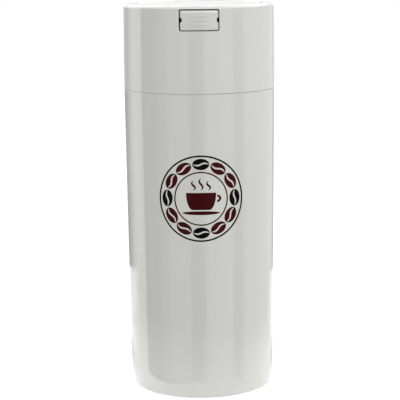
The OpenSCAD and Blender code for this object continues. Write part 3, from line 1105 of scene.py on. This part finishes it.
def bean_loops(long, wide):
    """A coffee bean: an oval, and the curved groove along it."""
    reach = GROOVE_REACH * long
    upper, lower = [], []
    for k in range(BEAN_STEPS + 1):
        share = 2 * k / BEAN_STEPS - 1
        middle = GROOVE_BEND * wide * math.sin(math.pi * share)
        half = GROOVE_HALF * wide * math.sqrt(1 - share ** 2) + GROOVE_LEAST * wide
        upper.append((reach * share, middle + half))
        lower.append((reach * share, middle - half))
    return [oval((0, 0), long / 2, wide / 2, BEAN_STEPS), upper + lower[::-1]]


def wisp_loop(x, y, tall, size):
    """A wisp of steam that rises from a place."""
    points, widths = [], []
    for k in range(BAND_STEPS + 1):
        share = k / BAND_STEPS
        points.append((x + STEAM_SWAY * size * math.sin(TURN * share), y + tall * share))
        swell = math.sin(math.pi * (WISP_START + WISP_SHARE * share))
        widths.append((WISP_WIDTH * swell + WISP_LEAST) * size)
    return stroke(points, widths)


def cup_loops(size):
    """A cup with a handle on a saucer, under three wisps of steam."""
    half_top, half_foot, tall, base = (size * share for share in (RIM_HALF, FOOT_HALF, BOWL_TALL, BOWL_BASE))
    right = arc((half_foot, base + tall), half_top - half_foot, -tall, 0, 90, BOWL_STEPS)
    left = [(-x, y) for x, y in reversed(right)]
    grip = (HANDLE_PLACE[0] * half_top, base + HANDLE_PLACE[1] * tall)
    handle = []
    for wide, high, angle in (OUTER_ARC, INNER_ARC):
        handle += arc(grip, wide * size, high * size, -angle, angle, BAND_STEPS)
    saucer = oval((0, base - SAUCER_DROP * size), SAUCER_WIDE * size, SAUCER_HIGH * size, SAUCER_STEPS)
    loops = [left[-1:] + right + left[:-1], handle, saucer]
    for side, rise in ((-1, STEAM_OUTER), (0, STEAM_MIDDLE), (1, STEAM_OUTER)):
        loops.append(wisp_loop(side * STEAM_PITCH * size, base + tall + STEAM_GAP * size, rise * size, size))
    return loops


class CANISTER_OT_print(bpy.types.Operator):
    """Print a roundel of a coffee cup in a ring of beans on the cup's front"""
    bl_idname = "canister.print"
    bl_label = "Print"

    def execute(self, context):
        size = context.scene.print_sizes
        ring = size.radius - 2 * size.rule - size.bean_width / 2
        bean = bean_loops(size.bean_length, size.bean_width)
        maroon_beans, black_beans = [], []
        for k in range(size.bean_count):
            angle = TURN * k / size.bean_count
            beans = maroon_beans if k % BLACK_EVERY else black_beans
            x, y = ring * math.cos(angle), ring * math.sin(angle)
            beans += [turned(loop, angle + QUARTER, x, y) for loop in bean]
        inner = ring - size.bean_width / 2 - size.rule
        middle = rule_loops(inner, size.rule * THIN_RULE) + cup_loops(inner * CUP_SHARE)
        self.lay("print_maroon", maroon_beans + middle, maroon_ink())
        self.lay("print_black", black_beans + rule_loops(size.radius, size.rule), black_ink())
        return {"FINISHED"}

    def lay(self, name, loops, material):
        """Fills flat loops, cuts them into strips, and wraps them on the cup's wall as a thin film."""
        size = bpy.context.scene.print_sizes
        piece = flat_shape(name, loops)
        edit(piece)
        bpy.ops.mesh.remove_doubles(threshold=SAME_PLACE)
        done()
        slice_across(piece, -size.radius, size.radius, PRINT_SLICES)
        for vertex in piece.data.vertices:
            along, up, _ = vertex.co
            height = size.centre_height + up
            radius = cup_wall(height) + size.ink
            vertex.co = (radius * math.sin(along / radius), -radius * math.cos(along / radius), height)
        edit(piece)
        bpy.ops.mesh.normals_make_consistent(inside=False)
        done()
        modify(piece, "SOLIDIFY", thickness=size.ink * FILM_SHARE, offset=0)
        finish_piece(piece, [material], "container", "body_plastic")


# The stage

WHITE = (1, 1, 1, 1)
# The world's light, where it isn't seen directly
WORLD_LEVEL = 0.55
# The floor: its size, how far it lies under the canister, its grey in the light and where seen, and its glow
FLOOR_SIZE, FLOOR_DROP = 8, 0.15 * MM
FLOOR_GREY, SHADED_GREY, FLOOR_GLOW = (0.8, 0.8, 0.8, 1), (0.3, 0.3, 0.3, 1), 0.83
# Each lamp's name, place, power in watts and size, and what they all point at
LAMP_TARGET = (0, 0, 0.13)
LAMPS = (
    ("key", (1.6, -0.5, 1.0), 19, 1.2),
    ("front", (-0.4, -1.9, 0.9), 7, 1.2),
    ("fill", (-1.4, -0.9, 0.9), 7.3, 1.2),
    ("back", (0.3, 1.9, 1.1), 13, 1.2),
)
# Heights at which cards meet: what is under the seam's line shows in the cup, what is under the lid's line
# in the lid, and what is over it in the ends of the lid's rounded top edge
CARD_DISTANCE, CARD_STEPS = 1.6, 360
CARD_FOOT, SEAM_LINE, LID_LINE, EDGE_LINE = -1.3, 0.035, 0.25, 0.84
# Each card's arc in degrees from the canister's front, its foot and top, and its level
CARDS = (
    (-180, -146, CARD_FOOT, SEAM_LINE, 0.3),
    (-180, -146, SEAM_LINE, LID_LINE, 0.6),
    (-146, -138, CARD_FOOT, LID_LINE, 0.45),
    (-138, -130, CARD_FOOT, LID_LINE, 0.8),
    (-130, -122, CARD_FOOT, LID_LINE, 1.3),
    (-122, -98, CARD_FOOT, LID_LINE, 1.9),
    (-98, -66, CARD_FOOT, LID_LINE, 0.0),
    (-66, -50, CARD_FOOT, LID_LINE, 0.5),
    (-50, -16, CARD_FOOT, LID_LINE, 1.1),
    (-16, 7, CARD_FOOT, LID_LINE, 0.15),
    (7, 51, CARD_FOOT, LID_LINE, 1.2),
    (51, 70, CARD_FOOT, LID_LINE, 0.15),
    (70, 150, CARD_FOOT, LID_LINE, 1.1),
    (150, 180, CARD_FOOT, SEAM_LINE, 0.5),
    (150, 180, SEAM_LINE, LID_LINE, 0.7),
    (-174, -140, LID_LINE, EDGE_LINE, 1.8),
    (-140, -98, LID_LINE, EDGE_LINE, 3.2),
    (140, 174, LID_LINE, EDGE_LINE, 1.3),
)
# The cards overhead, each a cone: radii below and above, heights below and above, and level
HIGH_CARDS = (
    (1.5, 0.5, 0.8, 1.5, 5.2),
    (0.75, 0.01, 1.60, 1.61, 3.0),
)
# Corners of those cones and of the apron
SHEET_STEPS = 96
# The white board under the canister: a round sheet cut to a wedge, whose nose is rounded
BOARD_CENTRE, BOARD_RADIUS, BOARD_ARC = (-0.020, 0.0), 0.355, (38.3, 150.8)
BOARD_NOSE, BOARD_NOSE_ROUND = (0.021, -0.110), 0.061
BOARD_ARC_STEPS, BOARD_NOSE_STEPS = 32, 24
BOARD_HEIGHT, APRON_HEIGHT = 0.2 * MM, 0.1 * MM
# Its even level, and the soft patches that are brighter or darker: painted pools of light, and behind the
# canister its painted shadow. Each has a centre, reach of the fade, and level
BOARD_LEVEL = 1.48
BOARD_PATCHES = (
    ((-0.041, -0.040), (0.005, 0.187), 2.75),
    ((-0.052, -0.032), (0.000, 0.050), 0.6),
    ((-0.283, 0.099), (0.090, 0.172), 0.83),
    # The canister's painted shadow on the board
    ((-0.007, 0.056), (0.065, 0.104), -1.78),
)
# The faint glow of the table round it
APRON_PATCH = ((-0.015, 0.0), (0.100, 0.210), 1.6)
# Width of the camera's sensor, in millimetres
SENSOR_WIDTH = 36


def bearing(face):
    """A face's direction from the canister's axis in degrees, 0 in front."""
    middle = face.calc_center_median()
    return math.degrees(math.atan2(middle.x, -middle.y))


class CANISTER_OT_stage(bpy.types.Operator):
    """Lay the floor, hang the lamps and cards, and set the camera"""
    bl_idname = "canister.stage"
    bl_label = "Stage"

    def execute(self, context):
        self.lay_floor()
        self.light_world()
        self.hang_lamps()
        self.stand_cards()
        self.lay_board()
        self.hang_high_cards()
        self.set_camera()
        context.scene.view_settings.view_transform = "Standard"
        return {"FINISHED"}

    def lay_floor(self):
        """A pale floor that the camera sees as white, with the canister's shadow."""
        deselect_all()
        bpy.ops.mesh.primitive_plane_add(size=FLOOR_SIZE, location=(0, 0, -FLOOR_DROP))
        floor = apply_place(named("floor"))
        material = bpy.data.materials.new("floor_white")
        nodes = Nodes(material)
        plain = nodes.add("BsdfDiffuse", {"Color": FLOOR_GREY})
        shaded = nodes.add("BsdfDiffuse", {"Color": SHADED_GREY})
        glow = nodes.add("Emission", {"Strength": FLOOR_GLOW})
        seen = nodes.add("AddShader", {0: shaded.outputs[0], 1: glow.outputs[0]})
        factor = nodes.seen_directly()
        nodes.show(nodes.add("MixShader", {0: factor, 1: plain.outputs[0], 2: seen.outputs[0]}))
        floor.data.materials.append(material)
        floor.visible_glossy = False

    def light_world(self):
        """White where it is seen, and a plain level of light elsewhere."""
        world = bpy.data.worlds.new("studio")
        bpy.context.scene.world = world
        nodes = Nodes(world)
        background = nodes.tree.nodes["Background"]
        nodes.give(background.inputs["Color"], WHITE)
        nodes.give(background.inputs["Strength"], nodes.spread(nodes.seen_directly(), WORLD_LEVEL, 1.0, 0, 1))

    def hang_lamps(self):
        """Large soft lamps. Their reflections are those of the cards."""
        for name, place, power, size in LAMPS:
            bpy.ops.object.light_add(type="AREA", location=place)
            lamp = named(name)
            lamp.data.energy = power
            lamp.data.size = size
            lamp.rotation_euler = (Vector(LAMP_TARGET) - Vector(place)).to_track_quat("-Z", "Y").to_euler()
            lamp.visible_camera = False
            lamp.visible_glossy = False

    def stand_cards(self):
        """Cards round the table that show only as reflections, each an arc of a ring with its own level."""
        for k, (start, end, foot, top, level) in enumerate(CARDS):
            deselect_all()
            bpy.ops.mesh.primitive_cylinder_add(
                vertices=CARD_STEPS, radius=CARD_DISTANCE, depth=top - foot,
                location=(0, 0, (foot + top) / 2), end_fill_type="NOTHING")
            card = named("card_%d" % k)
            edit(card)
            select_where(card, "faces", lambda face: not start < bearing(face) < end)
            bpy.ops.mesh.delete(type="FACE")
            done()
            self.show_in_gloss(card, level)

    def lay_board(self):
        """The board under the canister and the glow of the table round it, also only as reflections."""
        round_side = arc(BOARD_CENTRE, BOARD_RADIUS, BOARD_RADIUS, *BOARD_ARC, BOARD_ARC_STEPS)
        corners = [(*round_side[-1], 0), (*BOARD_NOSE, BOARD_NOSE_ROUND), (*round_side[0], 0)]
        board = flat_shape("board", [round_side + rounded(corners, BOARD_NOSE_STEPS)[1:-1]])
        board.location.z = BOARD_HEIGHT
        self.show_in_gloss(apply_place(board), BOARD_LEVEL, BOARD_PATCHES)
        centre, reach, _ = APRON_PATCH
        deselect_all()
        bpy.ops.mesh.primitive_circle_add(vertices=SHEET_STEPS, radius=reach[1], fill_type="NGON",
                                          location=(*centre, APRON_HEIGHT))
        self.show_in_gloss(apply_place(named("apron")), 0.0, [APRON_PATCH], clear=True)

    def hang_high_cards(self):
        """The cards overhead, which also show only as reflections."""
        for k, (low_radius, high_radius, low, high, level) in enumerate(HIGH_CARDS):
            deselect_all()
            bpy.ops.mesh.primitive_cone_add(
                vertices=SHEET_STEPS, radius1=low_radius, radius2=high_radius, depth=high - low,
                location=(0, 0, (low + high) / 2), end_fill_type="NOTHING")
            self.show_in_gloss(named("high_card_%d" % k), level)

    def show_in_gloss(self, card, level, patches=(), clear=False):
        """Gives a card a glow that only reflections see, with soft patches that are brighter or darker.

        What lies behind a clear card shows through its glow.
        """
        material = bpy.data.materials.new(card.name + "_glow")
        nodes = Nodes(material)
        strength = level
        for centre, (near, far), extra in patches:
            apart = nodes.add("VectorMath", {0: nodes.place(), 1: (*centre, 0)}, operation="DISTANCE")
            patch = nodes.spread(apart.outputs["Value"], extra, 0.0, near, far)
            strength = nodes.add("Math", {0: patch, 1: strength}, operation="ADD").outputs[0]
        glow = nodes.add("Emission", {"Color": WHITE, "Strength": strength})
        if clear:
            glow = nodes.add("AddShader", {0: glow.outputs[0], 1: nodes.add("BsdfTransparent").outputs[0]})
        nodes.show(glow)
        card.data.materials.append(material)
        card.visible_camera = False
        card.visible_diffuse = False
        card.visible_transmission = False
        card.visible_shadow = False

    def set_camera(self):
        """The camera at the photograph's place."""
        stage = bpy.context.scene.stage_values
        place = Vector((0, -stage.camera_distance, stage.camera_height))
        place.rotate(Matrix.Rotation(stage.camera_azimuth, 3, "Z"))
        bpy.ops.object.camera_add(location=place)
        camera = named("camera")
        upright = (Matrix.Rotation(stage.camera_azimuth + stage.camera_yaw, 3, "Z")
                   @ Matrix.Rotation(QUARTER - stage.camera_pitch, 3, "X"))
        camera.rotation_euler = (upright @ Matrix.Rotation(stage.camera_roll, 3, "Z")).to_euler()
        camera.data.lens = stage.camera_lens
        camera.data.sensor_width = SENSOR_WIDTH
        bpy.context.scene.camera = camera


OPERATORS = (
    CANISTER_OT_cup,
    CANISTER_OT_wiper_ring,
    CANISTER_OT_lid,
    CANISTER_OT_button,
    CANISTER_OT_stem,
    CANISTER_OT_disc,
    CANISTER_OT_spring,
    CANISTER_OT_print,
    CANISTER_OT_stage,
)


class CANISTER_PT_panel(bpy.types.Panel):
    """Lists the canister's pieces"""
    bl_idname = "CANISTER_PT_panel"
    bl_label = "Coffee Canister"
    bl_space_type = "VIEW_3D"
    bl_region_type = "UI"
    bl_category = "Canister"

    def draw(self, context):
        for operator in OPERATORS:
            self.layout.operator(operator.bl_idname)


GROUPS = {
    "cup_sizes": CupSizes,
    "lid_sizes": LidSizes,
    "button_sizes": ButtonSizes,
    "print_sizes": PrintSizes,
    "canister_colours": CanisterColours,
    "stage_values": StageValues,
}


def register():
    for name, group in GROUPS.items():
        bpy.utils.register_class(group)
        setattr(bpy.types.Scene, name, PointerProperty(type=group))
    for item in (*OPERATORS, CANISTER_PT_panel):
        bpy.utils.register_class(item)


def unregister():
    for item in (CANISTER_PT_panel, *reversed(OPERATORS)):
        bpy.utils.unregister_class(item)
    for name, group in reversed(GROUPS.items()):
        delattr(bpy.types.Scene, name)
        bpy.utils.unregister_class(group)


def main():
    register()
    for operator in OPERATORS:
        family, name = operator.bl_idname.split(".")
        getattr(getattr(bpy.ops, family), name)()


if __name__ == "__main__":
    main()
